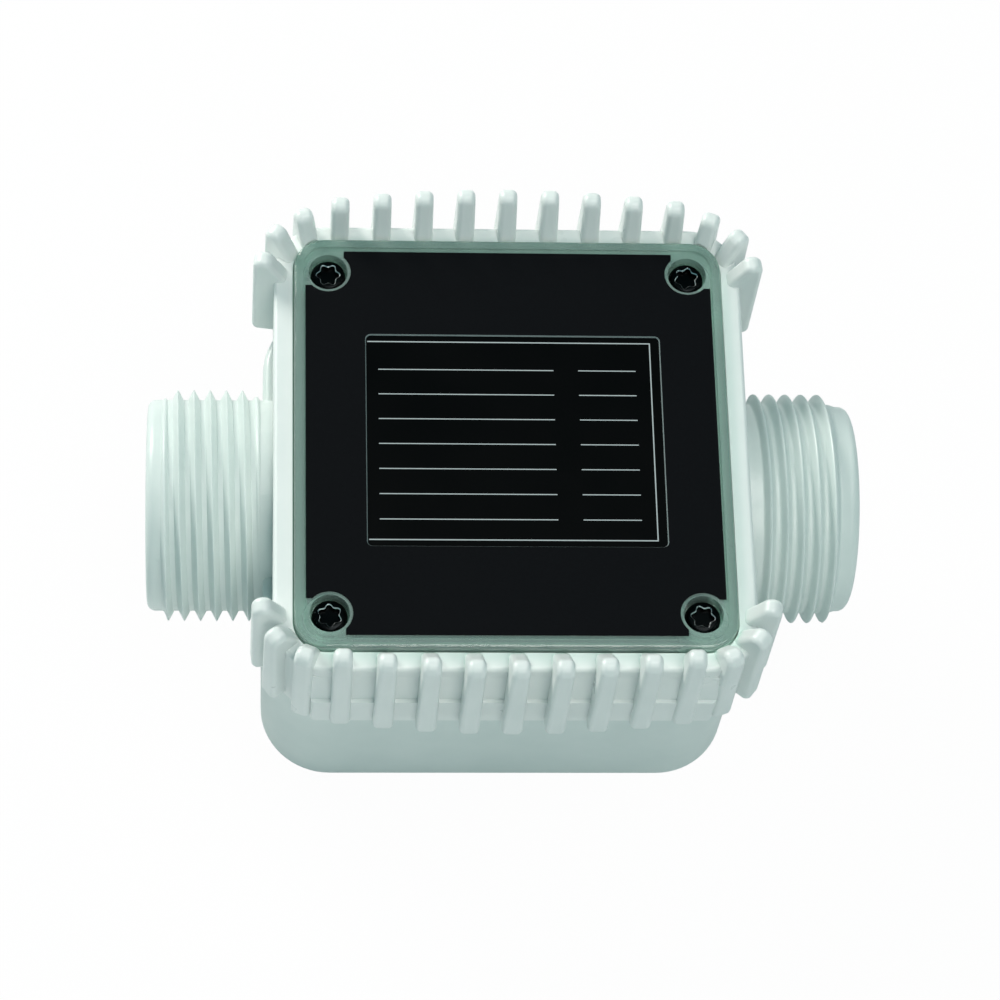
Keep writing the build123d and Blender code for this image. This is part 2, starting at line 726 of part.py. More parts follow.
with BuildPart() as circuit_board:
    with BuildSketch(Plane.XY.offset(board_bottom)):
        Rectangle(cavity_length - 2 * board_clearance, cavity_width - 2 * board_clearance)
        with GridLocations(lid_screw_spacing_x, lid_screw_spacing_y, 2, 2):
            Circle(lid_boss_radius + board_boss_clearance, mode=Mode.SUBTRACT)
        for corner_x, corner_y in ((1, 1), (-1, 1), (1, -1), (-1, -1)):
            with Locations((corner_x * lid_screw_spacing_x / 2, corner_y * lid_screw_spacing_y / 2)):
                Rectangle(
                    head_wall + lid_boss_radius,
                    head_wall + lid_boss_radius,
                    align=(Align.MIN if corner_x > 0 else Align.MAX, Align.MIN if corner_y > 0 else Align.MAX),
                    mode=Mode.SUBTRACT,
                )
        with GridLocations(post_spacing_x, post_spacing_y, 2, 2):
            Circle(post_pin_radius + post_pin_clearance, mode=Mode.SUBTRACT)
        with GridLocations(2 * lead_place, 0, 2, 1):
            Circle(lead_radius + lead_hole_clearance, mode=Mode.SUBTRACT)
        with Locations((0, connector_centre_y)):
            with GridLocations(connector_pin_pitch, 0, 2, 1):
                Circle(connector_pin_radius + connector_pin_clearance, mode=Mode.SUBTRACT)
    extrude(amount=board_thickness)

circuit_board.part.label = "circuit_board"
export_step(circuit_board.part, "parts/circuit_board.step")

# Output connector: shell under the board, open towards the cable inlet
connector_bottom = board_bottom - connector_height

with BuildPart() as output_connector:
    with BuildSketch(Plane.XY.offset(connector_bottom)):
        with Locations((0, connector_centre_y)):
            Rectangle(connector_length, connector_width)
    extrude(amount=connector_height)
    with BuildSketch(Plane.XY.offset(connector_bottom + connector_wall)):
        with Locations((0, connector_centre_y + connector_wall)):
            Rectangle(connector_length - 2 * connector_wall, connector_width)
    extrude(amount=connector_height - 2 * connector_wall, mode=Mode.SUBTRACT)
    with Locations(Plane.XY.offset(board_bottom)):
        with Locations((0, connector_centre_y)):
            with GridLocations(connector_pin_pitch, 0, 2, 1):
                Hole(connector_pin_radius + connector_pin_clearance, depth=connector_wall)

output_connector.part.label = "output_connector"
export_step(output_connector.part, "parts/output_connector.step")

# Connector pins: two posts soldered in the board, standing down into the shell
with BuildPart() as connector_pins:
    with BuildSketch(Plane.XY.offset(board_top)):
        with Locations((0, connector_centre_y)):
            with GridLocations(connector_pin_pitch, 0, 2, 1):
                Circle(connector_pin_radius)
    extrude(amount=-board_thickness - connector_pin_reach)

connector_pins.part.label = "connector_pins"
export_step(connector_pins.part, "parts/connector_pins.step")

# Cable grommet: rubber sleeve through the inlet boss, with a flange outside
with BuildPart() as cable_grommet:
    with BuildSketch(facing_back(cavity_width / 2, inlet_axis_height)):
        Circle(grommet_sleeve_radius)
    extrude(amount=inlet_boss_reach - cavity_width / 2)
    with BuildSketch(facing_back(inlet_boss_reach, inlet_axis_height)):
        Circle(grommet_flange_radius)
    extrude(amount=grommet_flange_thickness)
    fillet(cable_grommet.edges().filter_by(GeomType.CIRCLE).sort_by(Axis.Y)[-1], grommet_edge_radius)
    with BuildSketch(facing_back(cavity_width / 2, inlet_axis_height)):
        Circle(grommet_bore_radius)
    extrude(amount=inlet_boss_reach, mode=Mode.SUBTRACT)

cable_grommet.part.label = "cable_grommet"
export_step(cable_grommet.part, "parts/cable_grommet.step")

# Lid gasket: flat ring on the ledge, outside the screw bosses
with BuildPart() as cover_gasket:
    with BuildSketch(Plane.XY.offset(ledge_height)):
        RectangleRounded(
            recess_length - 2 * gasket_clearance,
            recess_width - 2 * gasket_clearance,
            recess_corner_radius - gasket_clearance,
        )
        RectangleRounded(
            cavity_length + 2 * gasket_clearance,
            cavity_width + 2 * gasket_clearance,
            cavity_corner_radius,
            mode=Mode.SUBTRACT,
        )
        with GridLocations(lid_screw_spacing_x, lid_screw_spacing_y, 2, 2):
            Circle(lid_boss_radius + gasket_clearance, mode=Mode.SUBTRACT)
    extrude(amount=gasket_thickness)

cover_gasket.part.label = "cover_gasket"
export_step(cover_gasket.part, "parts/cover_gasket.step")

# Cover: clear lid with a raised rim, a sunk field, screw wells and a shallow seat for the label
with BuildPart() as cover:
    with BuildSketch(Plane.XY.offset(lid_bottom)):
        RectangleRounded(lid_length, lid_width, lid_corner_radius)
    extrude(amount=lid_thickness)
    fillet(cover.faces().sort_by(Axis.Z)[-1].edges(), lid_edge_radius)
    with BuildSketch(Plane.XY.offset(field_height)):
        RectangleRounded(
            lid_length - 2 * lid_rim_width,
            lid_width - 2 * lid_rim_width,
            lid_corner_radius - lid_rim_width,
        )
    extrude(amount=lid_field_depth, mode=Mode.SUBTRACT)
    with Locations(Plane.XY.offset(field_height)):
        with GridLocations(lid_screw_spacing_x, lid_screw_spacing_y, 2, 2):
            CounterBoreHole(
                lid_screw_shank_radius + lid_hole_clearance,
                lid_screw_head_radius + lid_well_clearance,
                field_height - screw_seat_height,
                depth=lid_thickness,
            )
    with BuildSketch(Plane.XY.offset(field_height - label_thickness)):
        with Locations((window_shift, 0)):
            Rectangle(label_length + 2 * label_clearance, label_width + 2 * label_clearance)
    extrude(amount=label_thickness, mode=Mode.SUBTRACT)

cover.part.label = "cover"
export_step(cover.part, "parts/cover.step")

# Label plate: thin plate in its seat on the lid, under the window of the overlay
with BuildPart() as label_plate:
    with BuildSketch(Plane.XY.offset(field_height - label_thickness)):
        with Locations((window_shift, 0)):
            Rectangle(label_length, label_width)
    extrude(amount=label_thickness)

label_plate.part.label = "label_plate"
export_step(label_plate.part, "parts/label_plate.step")

# Front overlay: foil on the lid's field, cut away round the screws and at the window
with BuildPart() as front_overlay:
    with BuildSketch(Plane.XY.offset(field_height)):
        Rectangle(overlay_length, overlay_width)
        for corner_x, corner_y in ((1, 1), (-1, 1), (1, -1), (-1, -1)):
            with Locations((corner_x * lid_screw_spacing_x / 2, corner_y * lid_screw_spacing_y / 2)):
                Circle(overlay_scallop_radius, mode=Mode.SUBTRACT)
            with Locations((corner_x * overlay_length / 2, corner_y * overlay_width / 2)):
                Rectangle(
                    overlay_length - lid_screw_spacing_x + 2 * overlay_corner_reach,
                    overlay_width - lid_screw_spacing_y + 2 * overlay_corner_reach,
                    mode=Mode.SUBTRACT,
                )
        with Locations((window_shift, 0)):
            RectangleRounded(window_length, window_width, window_corner_radius, mode=Mode.SUBTRACT)
    extrude(amount=overlay_thickness)

front_overlay.part.label = "front_overlay"
export_step(front_overlay.part, "parts/front_overlay.step")

# Lid screws: sunk heads with a six-sided socket, shanks down into the head's bosses
with BuildPart() as cover_screws:
    with BuildSketch(Plane.XY.offset(screw_seat_height)):
        with GridLocations(lid_screw_spacing_x, lid_screw_spacing_y, 2, 2):
            Circle(lid_screw_head_radius)
    extrude(amount=lid_screw_head_height)
    with BuildSketch(Plane.XY.offset(screw_head_top)):
        with GridLocations(lid_screw_spacing_x, lid_screw_spacing_y, 2, 2):
            RegularPolygon(lid_screw_recess_radius, 6)
    extrude(amount=-lid_screw_recess_depth, mode=Mode.SUBTRACT)
    with BuildSketch(Plane.XY.offset(screw_seat_height)):
        with GridLocations(lid_screw_spacing_x, lid_screw_spacing_y, 2, 2):
            Circle(lid_screw_shank_radius)
    extrude(amount=-lid_screw_length)

cover_screws.part.label = "cover_screws"
export_step(cover_screws.part, "parts/cover_screws.step")
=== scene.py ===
import math

import bmesh
import bpy
import numpy as np
from mathutils import Matrix, Vector


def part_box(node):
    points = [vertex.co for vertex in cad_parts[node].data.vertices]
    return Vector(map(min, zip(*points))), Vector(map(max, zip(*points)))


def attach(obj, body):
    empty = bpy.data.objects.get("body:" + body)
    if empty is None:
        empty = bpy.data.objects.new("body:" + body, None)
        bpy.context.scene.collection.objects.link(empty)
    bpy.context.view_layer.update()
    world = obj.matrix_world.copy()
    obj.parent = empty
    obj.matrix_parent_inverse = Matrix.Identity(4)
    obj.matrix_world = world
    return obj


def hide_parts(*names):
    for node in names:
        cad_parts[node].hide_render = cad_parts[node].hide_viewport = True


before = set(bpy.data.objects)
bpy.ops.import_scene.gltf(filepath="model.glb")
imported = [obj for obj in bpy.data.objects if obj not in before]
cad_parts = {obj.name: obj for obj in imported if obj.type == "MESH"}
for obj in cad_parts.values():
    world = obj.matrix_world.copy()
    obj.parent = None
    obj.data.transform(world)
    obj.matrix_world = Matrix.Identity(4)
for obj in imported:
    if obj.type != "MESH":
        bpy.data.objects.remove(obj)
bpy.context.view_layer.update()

mm = 0.001


# Turbine body
# One thick moulded block of white acetal with a round neck on two sides and the flow bore right through
# it. Its flat top carries the head. Its two ports come next.

def linear(code):
    """The linear colour of an sRGB hex code, channel by channel along the sRGB transfer curve."""
    share = np.array([int(code[k:k + 2], 16) for k in (1, 3, 5)]) / 255
    return (*np.where(share <= 0.04045, share / 12.92, ((share + 0.055) / 1.055) ** 2.4), 1.0)


def add_node(tree, kind, sockets=None, **settings):
    """Adds a node; each socket takes a constant, or is linked to the output that feeds it."""
    node = tree.nodes.new("ShaderNode" + kind)
    for name, value in settings.items():
        setattr(node, name, value)
    for name, value in (sockets or {}).items():
        if isinstance(value, bpy.types.NodeSocket):
            tree.links.new(value, node.inputs[name])
        else:
            node.inputs[name].default_value = value
    return node


# A noise texture's values lie mostly between these two.
noise_low, noise_high = 0.3, 0.7


def moulded_plastic(name, colour, flow_colour, roughness):
    """Opaque moulded plastic. A noise as wide as the clouds that the melt leaves turns the colour a
    little towards flow_colour and the gloss with it, and a fine one is the surface's own grain. A
    little light goes in and comes out a millimetre further on."""
    cloud = 9 * mm
    grain = 0.35 * mm
    relief = 0.006 * mm
    gloss_spread = 0.05
    material = bpy.data.materials.new(name)
    material.use_nodes = True
    tree = material.node_tree
    tree.nodes.clear()
    place = add_node(tree, "TexCoord").outputs["Object"]
    clouds = add_node(tree, "TexNoise", {"Vector": place, "Scale": 1 / cloud, "Detail": 3.0})
    specks = add_node(tree, "TexNoise", {"Vector": place, "Scale": 1 / grain, "Detail": 2.0})
    tint = add_node(tree, "Mix", {
        0: clouds.outputs["Fac"], 6: linear(colour), 7: linear(flow_colour),
    }, data_type="RGBA")
    gloss = add_node(tree, "MapRange", {
        "Value": clouds.outputs["Fac"], "From Min": noise_low, "From Max": noise_high,
        "To Min": roughness - gloss_spread, "To Max": roughness + gloss_spread,
    })
    skin = add_node(tree, "Bump", {
        "Height": specks.outputs["Fac"], "Distance": relief, "Strength": 1.0,
    })
    surface = add_node(tree, "BsdfPrincipled", {
        "Base Color": tint.outputs[2], "Roughness": gloss.outputs["Result"],
        "Normal": skin.outputs["Normal"],
        "Subsurface Weight": 0.12, "Subsurface Radius": (1.2, 1.4, 1.3), "Subsurface Scale": 1 * mm,
    })
    add_node(tree, "OutputMaterial", {"Surface": surface.outputs["BSDF"]})
    return material


def new_piece(name, points, faces, material, body, slot):
    """A piece from its points and faces: points in one place are merged, all faces are turned outwards,
    and an edge that bends more than sharp_angle degrees is shaded sharp."""
    same_place = 0.0005 * mm
    sharp_angle = 35
    mesh = bpy.data.meshes.new(name)
    mesh.from_pydata(points, [], faces)
    shell = bmesh.new()
    shell.from_mesh(mesh)
    bmesh.ops.remove_doubles(shell, verts=shell.verts, dist=same_place)
    bmesh.ops.dissolve_degenerate(shell, edges=shell.edges, dist=same_place)
    bmesh.ops.recalc_face_normals(shell, faces=shell.faces)
    shell.to_mesh(mesh)
    shell.free()
    mesh.shade_smooth()
    mesh.set_sharp_from_angle(angle=math.radians(sharp_angle))
    mesh.materials.append(material)
    piece = bpy.data.objects.new(name, mesh)
    bpy.context.scene.collection.objects.link(piece)
    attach(piece, body)
    return piece


# Natural acetal, moulded: a milky white with a faint green cast, satin, a little light inside.
acetal = moulded_plastic("natural_acetal_moulded", "#e2eae7", "#d3dedb", 0.34)

port_root_radius = 15.15 * mm
port_seam = 34.9 * mm


def body_without_ports():
    """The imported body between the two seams: its triangles joined at their corners and cut by a plane
    at each seam, and the open ring that each cut leaves closed between the neck and the bore."""
    same_corner = 0.001 * mm
    on_plane = 0.0001 * mm
    shell = bmesh.new()
    shell.from_mesh(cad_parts["turbine_body"].data)
    bmesh.ops.remove_doubles(shell, verts=shell.verts, dist=same_corner)
    for side in (-1, 1):
        everything = shell.verts[:] + shell.edges[:] + shell.faces[:]
        bmesh.ops.bisect_plane(
            shell, geom=everything, dist=on_plane,
            plane_co=(side * port_seam, 0, 0), plane_no=(side, 0, 0), clear_outer=True,
        )
        rim = [edge for edge in shell.edges if edge.is_boundary]
        bmesh.ops.bridge_loops(shell, edges=rim)
    mesh = bpy.data.meshes.new("body_cut")
    shell.to_mesh(mesh)
    shell.free()
    points = [vertex.co[:] for vertex in mesh.vertices]
    faces = [face.vertices[:] for face in mesh.polygons]
    bpy.data.meshes.remove(mesh)
    return points, faces


body_block = new_piece("turbine_body_block", *body_without_ports(), acetal, "housing", "body_plastic")
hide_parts("turbine_body")


# Threaded ports
# The two ends of the body, each with a male 1 inch parallel pipe thread in the same acetal. The inlet's
# ridges are sharp, the outlet's are round, and the last one of each runs out into the neck.

flow_height = 32.0 * mm
thread_pitch = 2.309 * mm
thread_depth = 1.46 * mm
ridge_rows = 20
port_columns = 240


def threaded_port(before, after, x_start, x_end, crest_x, ridge, run_in, run_out):
    """A closed port. Its section is a loop of points (x, radius): the points before the thread, the
    thread, and the points after it, carried round the flow axis.

    In the thread the rows follow the helix: row r of column i lies at the start plus r + n * i / N
    steps, with n rows to a pitch and N columns to a turn, kept between the thread's ends, so that a
    crest stays on one row all the way round. Past the last column, a row joins on n rows further on.
    Its radius is the root's plus the ridge's height there. The ridges rise from nothing over run_in
    from the start, and sink to nothing over run_out before the end."""
    step = thread_pitch / ridge_rows
    count = math.ceil((x_end - x_start) / step)
    row = np.arange(-2 * ridge_rows, count + 1)[:, None]
    column = np.arange(port_columns)[None, :]
    angle = 2 * np.pi * column / port_columns
    first_crest = crest_x - math.floor((crest_x - x_start) / thread_pitch) * thread_pitch
    free_x = first_crest + (row + ridge_rows * column / port_columns) * step
    thread_x = np.clip(free_x, x_start, x_end)
    off_crest = (row + ridge_rows // 2) % ridge_rows - ridge_rows // 2
    rise = np.clip((thread_x - x_start) / run_in, 0, 1)
    sink = np.clip((x_end - thread_x) / run_out, 0, 1)
    height = thread_depth * ridge(np.abs(off_crest * step)) * (rise * sink)
    thread_radius = port_root_radius + height * ((free_x > x_start) & (free_x < x_end))

    def round_rows(profile):
        """The profile's points repeated in every column."""
        profile = np.array(profile)
        return np.repeat(profile[:, None, :], port_columns, axis=1)

    lead, tail = round_rows(before), round_rows(after)
    thread = np.stack([thread_x, thread_radius], axis=2)
    loop = np.concatenate([lead, thread, tail])
    rows = len(loop)
    x, radius = loop[..., 0], loop[..., 1]
    points = np.stack([x, radius * np.cos(angle), flow_height + radius * np.sin(angle)], axis=2)
    points = points.reshape(-1, 3)

    index = np.arange(rows * port_columns).reshape(rows, port_columns)
    past_last = np.arange(rows)
    in_thread = (past_last >= len(lead)) & (past_last < len(lead) + len(thread))
    shifted = np.minimum(past_last + ridge_rows, len(lead) + len(thread) - 1)
    past_last = np.where(in_thread, shifted, past_last)
    index = np.concatenate([index, index[past_last, :1]], axis=1)
    index = np.concatenate([index, index[:1]])
    faces = np.stack([index[:-1, :-1], index[:-1, 1:], index[1:, 1:], index[1:, :-1]], axis=2)
    return points.tolist(), faces.reshape(-1, 4).tolist()


def arc(centre_x, centre_r, radius, start, end, count=7):
    """Points of an arc in the port's section, from start to end in degrees from +x towards the outside."""
    turn = np.radians(np.linspace(start, end, count))
    return list(zip(centre_x + radius * np.cos(turn), centre_r + radius * np.sin(turn)))


def sharp_ridge(off):
    """A ridge with straight flanks: its height falls evenly with the way off from its crest, and a
    small flat is left on the crest where the fall starts above the full height."""
    flank = 0.76 * mm
    start_height = 1.06
    return np.clip(start_height - off / flank, 0, 1)


def round_ridge(off):
    """A ridge worn round: half a cosine wave from its crest down to its foot."""
    half_width = 0.98 * mm
    return 0.5 + 0.5 * np.cos(np.pi * np.clip(off / half_width, 0, 1))


port_edge_radius = 1.2 * mm
mouth_chamfer = 0.8 * mm
edge_middle_radius = port_root_radius - port_edge_radius

inlet_reach = 51.0 * mm
inlet_bore = 12.6 * mm
inlet_profile = [
    (-port_seam, inlet_bore),
    (-inlet_reach + mouth_chamfer, inlet_bore),
    (-inlet_reach, inlet_bore + mouth_chamfer),
    *arc(-inlet_reach + port_edge_radius, edge_middle_radius, port_edge_radius, 180, 90),
]
points, faces = threaded_port(
    before=inlet_profile,
    after=[(-port_seam, port_root_radius)],
    x_start=-48.9 * mm,
    x_end=-35.0 * mm,
    crest_x=-46.95 * mm,
    ridge=sharp_ridge,
    run_in=0.8 * mm,
    run_out=0.9 * mm,
)
new_piece("turbine_body_inlet_port", points, faces, acetal, "housing", "body_plastic")

outlet_reach = 49.9 * mm
outlet_bore = 11.0 * mm
outlet_lead_radius = 14.85 * mm
outlet_lead_start = 48.3 * mm
outlet_profile = [
    (outlet_lead_start, outlet_lead_radius),
    *arc(outlet_reach - port_edge_radius, outlet_lead_radius - port_edge_radius, port_edge_radius, 90, 0),
    (outlet_reach, outlet_bore + mouth_chamfer),
    (outlet_reach - mouth_chamfer, outlet_bore),
    (port_seam, outlet_bore),
]
points, faces = threaded_port(
    before=[(port_seam, port_root_radius)],
    after=outlet_profile,
    x_start=35.5 * mm,
    x_end=47.3 * mm,
    crest_x=36.2 * mm,
    ridge=round_ridge,
    run_in=0.7 * mm,
    run_out=0.7 * mm,
)
new_piece("turbine_body_outlet_port", points, faces, acetal, "housing", "body_plastic")


# Flow parts
# In the bore, from the inlet: a snap ring, a vaned straightener with its bush, the rotor on its shaft
# with two magnets, and a vaned support with the other bush. They are pushed in and the ring holds them.

def dress(node, material):
    """The CAD node's own mesh takes the material."""
    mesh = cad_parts[node].data
    mesh.materials.clear()
    mesh.materials.append(material)


# At scale 1 the wave texture runs through 20 radians a metre, so that a band is 2 pi / 20 metres wide.
wave_unit = 2 * math.pi / 20


def bare_metal(name, colour, roughness, axis="X"):
    """Bare metal. Bands a lathe's feed apart along the axis are the fine marks of turning, and a noise
    as wide as a finger's touch turns the gloss a little."""
    lathe_step = 0.12 * mm
    relief = 0.001 * mm
    smear = 4 * mm
    gloss_spread = 0.06
    material = bpy.data.materials.new(name)
    material.use_nodes = True
    tree = material.node_tree
    tree.nodes.clear()
    place = add_node(tree, "TexCoord").outputs["Object"]
    marks = add_node(tree, "TexWave", {
        "Vector": place, "Scale": wave_unit / lathe_step, "Distortion": 1.0, "Detail": 2.0,
    }, wave_type="BANDS", bands_direction=axis)
    smears = add_node(tree, "TexNoise", {"Vector": place, "Scale": 1 / smear})
    gloss = add_node(tree, "MapRange", {
        "Value": smears.outputs["Fac"], "From Min": noise_low, "From Max": noise_high,
        "To Min": roughness - gloss_spread, "To Max": roughness + gloss_spread,
    })
    skin = add_node(tree, "Bump", {"Height": marks.outputs["Fac"], "Distance": relief})
    surface = add_node(tree, "BsdfPrincipled", {
        "Base Color": linear(colour), "Metallic": 1.0, "Roughness": gloss.outputs["Result"],
        "Normal": skin.outputs["Normal"],
    })
    add_node(tree, "OutputMaterial", {"Surface": surface.outputs["BSDF"]})
    return material


# Stainless steel, turned: a bright grey that shows the light as a soft streak.
stainless = bare_metal("stainless_steel_turned", "#b9b8b4", 0.26)
# Nickel plate: whiter and a little warmer than the steel, smoother.
nickel = bare_metal("nickel_plate", "#c7c3b6", 0.20)
# Acetal copolymer, moulded in a finer tool than the body: whiter, with more gloss.
support_acetal = moulded_plastic("acetal_copolymer_moulded", "#d6dcd8", "#cbd3ce", 0.33)
# Bearing plastic filled with graphite: dark grey with a waxy shine.
graphite_plastic = moulded_plastic("graphite_filled_bearing_plastic", "#2b2c2e", "#353638", 0.42)
# Blue nylon, moulded: the rotor's own colour, satin.
rotor_nylon = moulded_plastic("blue_nylon_moulded", "#2a4a80", "#31548c", 0.38)

dress("retaining_ring", stainless)
dress("rotor_shaft", stainless)
dress("rotor_magnets", nickel)
dress("inlet_straightener", support_acetal)
dress("outlet_support", support_acetal)
dress("inlet_bush", graphite_plastic)
dress("outlet_bush", graphite_plastic)
dress("rotor", rotor_nylon)


# Head base, its pads and its screws
# The lower half of the head: floor, arch over the pipe and posts for the board, moulded in ABS. Four
# steel screws hold it on the body, and two rubber pads take up the gap between them.

# ABS, moulded and satin: an off-white, lighter than the acetal.
head_abs = moulded_plastic("off_white_abs_moulded", "#ecf0ee", "#dee4e2", 0.32)
# Black rubber, moulded in a sheet: dull.
pad_rubber = moulded_plastic("black_rubber_sheet", "#161717", "#1d1e1e", 0.62)

# Stainless steel, turned along the upright axis of the screws.
stainless_upright = bare_metal("stainless_steel_screw", "#b9b8b4", 0.26, axis="Z")

dress("head_base", head_abs)
dress("saddle_pads", pad_rubber)
dress("head_screws", stainless_upright)


# Head frame with the crown of fins, and the cable inlet
# The upper half of the head: four walls with the lid's recess, nine fins on two sides and three round
# each corner, moulded in one piece of the same ABS. A rubber grommet lines the inlet in its back.

# Black rubber, moulded: a soft sheen.
grommet_rubber = moulded_plastic("black_rubber_moulded", "#141414", "#1b1b1b", 0.55)

dress("head_frame", head_abs)
dress("cable_grommet", grommet_rubber)


# Board, reed switch and connector
# The electronics under the lid: a green laminate with a glass reed switch hung under it on its own
# wires, and a nylon connector with two tinned pins for the cable.

def lacquered_board(name, colour, fibre_colour):
    """Glass fibre laminate under solder lacquer: two crossed waves a thread apart show the cloth, and
    a clear coat gives the wet shine."""
    weave = 0.5 * mm
    material = bpy.data.materials.new(name)
    material.use_nodes = True
    tree = material.node_tree
    tree.nodes.clear()
    place = add_node(tree, "TexCoord").outputs["Object"]
    threads = {"Vector": place, "Scale": wave_unit / weave}
    warp = add_node(tree, "TexWave", threads, bands_direction="X")
    weft = add_node(tree, "TexWave", threads, bands_direction="Y")
    cloth = add_node(tree, "Math", {
        0: warp.outputs["Fac"], 1: weft.outputs["Fac"],
    }, operation="MULTIPLY")
    tint = add_node(tree, "Mix", {
        0: cloth.outputs[0], 6: linear(colour), 7: linear(fibre_colour),
    }, data_type="RGBA")
    surface = add_node(tree, "BsdfPrincipled", {
        "Base Color": tint.outputs[2], "Roughness": 0.4, "Coat Weight": 0.8, "Coat Roughness": 0.12,
    })
    add_node(tree, "OutputMaterial", {"Surface": surface.outputs["BSDF"]})
    return material


def clear_solid(name, colour, roughness, index, clearness=1.0):
    """A clear solid: light goes through it and bends by its index, a faint noise as wide as a mould's
    flow marks moves its surface, and a shadow ray passes it with only the colour taken out. Below a
    clearness of 1 the rest is milky and shows the colour itself."""
    flow_mark = 6 * mm
    relief = 0.02 * mm
    material = bpy.data.materials.new(name)
    material.use_nodes = True
    tree = material.node_tree
    tree.nodes.clear()
    place = add_node(tree, "TexCoord").outputs["Object"]
    flow = add_node(tree, "TexNoise", {"Vector": place, "Scale": 1 / flow_mark, "Detail": 2.0})
    skin = add_node(tree, "Bump", {"Height": flow.outputs["Fac"], "Distance": relief})
    surface = add_node(tree, "BsdfPrincipled", {
        "Base Color": linear(colour), "Roughness": roughness, "IOR": index,
        "Transmission Weight": clearness, "Normal": skin.outputs["Normal"],
    })
    passing = add_node(tree, "BsdfTransparent", {"Color": linear(colour)})
    path = add_node(tree, "LightPath")
    mixed = add_node(tree, "MixShader", {
        0: path.outputs["Is Shadow Ray"], 1: surface.outputs["BSDF"], 2: passing.outputs["BSDF"],
    })
    add_node(tree, "OutputMaterial", {"Surface": mixed.outputs["Shader"]})
    return material


# Glass fibre laminate under green lacquer.
laminate = lacquered_board("green_lacquered_laminate", "#0e3b24", "#155034")
# Soft glass, drawn and sealed: clear with a green tint.
switch_glass = clear_solid("green_tinted_glass", "#cfe3c8", 0.02, 1.5)
# Tinned wire: bright, a little dull where the tin ran.
tinned = bare_metal("tinned_copper_wire", "#c4c2bb", 0.24)
# Nylon, moulded, natural: cream.
cream_nylon = moulded_plastic("natural_nylon_moulded", "#d8d2c0", "#cec8b4", 0.42)

dress("circuit_board", laminate)
dress("reed_switch", switch_glass)
dress("reed_leads", tinned)
dress("connector_pins", tinned)
dress("output_connector", cream_nylon)


# Gasket and clear lid
# A flat silicone gasket lies on the frame's ledge, and the lid of clear polycarbonate is pressed on it
# by four screws. Its rim stands proud round a sunk field, and its edge shows the pale plastic under it.

# Silicone, moulded: grey-green and dull.
silicone = moulded_plastic("grey_green_silicone", "#9fb3aa", "#abbcb3", 0.55)
# Polycarbonate, moulded and polished: a grey-green tint, a little milky, with hard bright edges.
polycarbonate = clear_solid("clear_polycarbonate", "#c4dbd4", 0.05, 1.58, clearness=0.72)

dress("cover_gasket", silicone)
dress("cover", polycarbonate)


# Overlay foil
# A black polyester foil with a fine matte grain, cut to clear the screws and the window, and stuck on
# the lid's field. It hides the board.

def printed_foil(name, colour, speck_colour, roughness, grain, relief, shine):
    """Foil printed in one ink: fine grain, with the ink a little uneven at the scale of a squeegee's
    pull."""
    pull_width = 14 * mm
    gloss_spread = 0.04
    material = bpy.data.materials.new(name)
    material.use_nodes = True
    tree = material.node_tree
    tree.nodes.clear()
    place = add_node(tree, "TexCoord").outputs["Object"]
    specks = add_node(tree, "TexNoise", {"Vector": place, "Scale": 1 / grain, "Detail": 4.0})
    pull = add_node(tree, "TexNoise", {"Vector": place, "Scale": 1 / pull_width, "Detail": 2.0})
    gloss = add_node(tree, "MapRange", {
        "Value": pull.outputs["Fac"], "From Min": noise_low, "From Max": noise_high,
        "To Min": roughness - gloss_spread, "To Max": roughness + gloss_spread,
    })
    tint = add_node(tree, "Mix", {
        0: specks.outputs["Fac"], 6: linear(colour), 7: linear(speck_colour),
    }, data_type="RGBA")
    skin = add_node(tree, "Bump", {"Height": specks.outputs["Fac"], "Distance": relief})
    surface = add_node(tree, "BsdfPrincipled", {
        "Base Color": tint.outputs[2], "Roughness": gloss.outputs["Result"],
        "Specular IOR Level": shine, "Normal": skin.outputs["Normal"],
    })
    add_node(tree, "OutputMaterial", {"Surface": surface.outputs["BSDF"]})
    return material


# Polyester foil under matte black ink: near black, with a grain that takes the shine off.
overlay_foil = printed_foil(
    "matte_black_polyester_foil", "#06070a", "#0d0f12",
    roughness=0.6, grain=0.25 * mm, relief=0.008 * mm, shine=0.05,
)

dress("front_overlay", overlay_foil)


# Label
# A thin black plate in the foil's window. It carries a plain blank form in pale print, a frame and
# ruled lines, and the cut edge of the foil runs round it, coloured pale as a painted highlight line.

# Smooth black lacquer: deeper than the foil, half gloss.
label_lacquer = printed_foil(
    "smooth_black_lacquer", "#020303", "#040405",
    roughness=0.34, grain=0.6 * mm, relief=0.0005 * mm, shine=0.06,
)

dress("label_plate", label_lacquer)

ink_height = 0.03 * mm
label_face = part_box("label_plate")[1].z
frame_line = 0.16 * mm
frame_left, frame_right = -20.1 * mm, 19.8 * mm
frame_bottom, frame_top = -15.3 * mm, 15.3 * mm

# Pale grey printing ink, matte.
print_ink = moulded_plastic("pale_grey_printing_ink", "#b9c2c4", "#aab4b6", 0.6)


def printed_strips(strips):
    """Flat bars of ink. Each strip is (x from, x to, y from, y to); its eight corners are the two ends
    of its span along x, y and z, taken for all strips at once."""
    span = np.array(strips).reshape(-1, 2, 2)
    corner = np.array([(x, y, z) for z in (0, 1) for y in (0, 1) for x in (0, 1)])
    x = span[:, 0, :][:, corner[:, 0]]
    y = span[:, 1, :][:, corner[:, 1]]
    z = np.broadcast_to(label_face + ink_height * corner[:, 2], x.shape)
    points = np.stack([x, y, z], axis=2).reshape(-1, 3)
    box_faces = np.array([
        (0, 2, 3, 1), (4, 5, 7, 6), (0, 1, 5, 4), (2, 6, 7, 3), (0, 4, 6, 2), (1, 3, 7, 5),
    ])
    faces = (box_faces[None] + 8 * np.arange(len(span))[:, None, None]).reshape(-1, 4)
    return points.tolist(), faces.tolist()


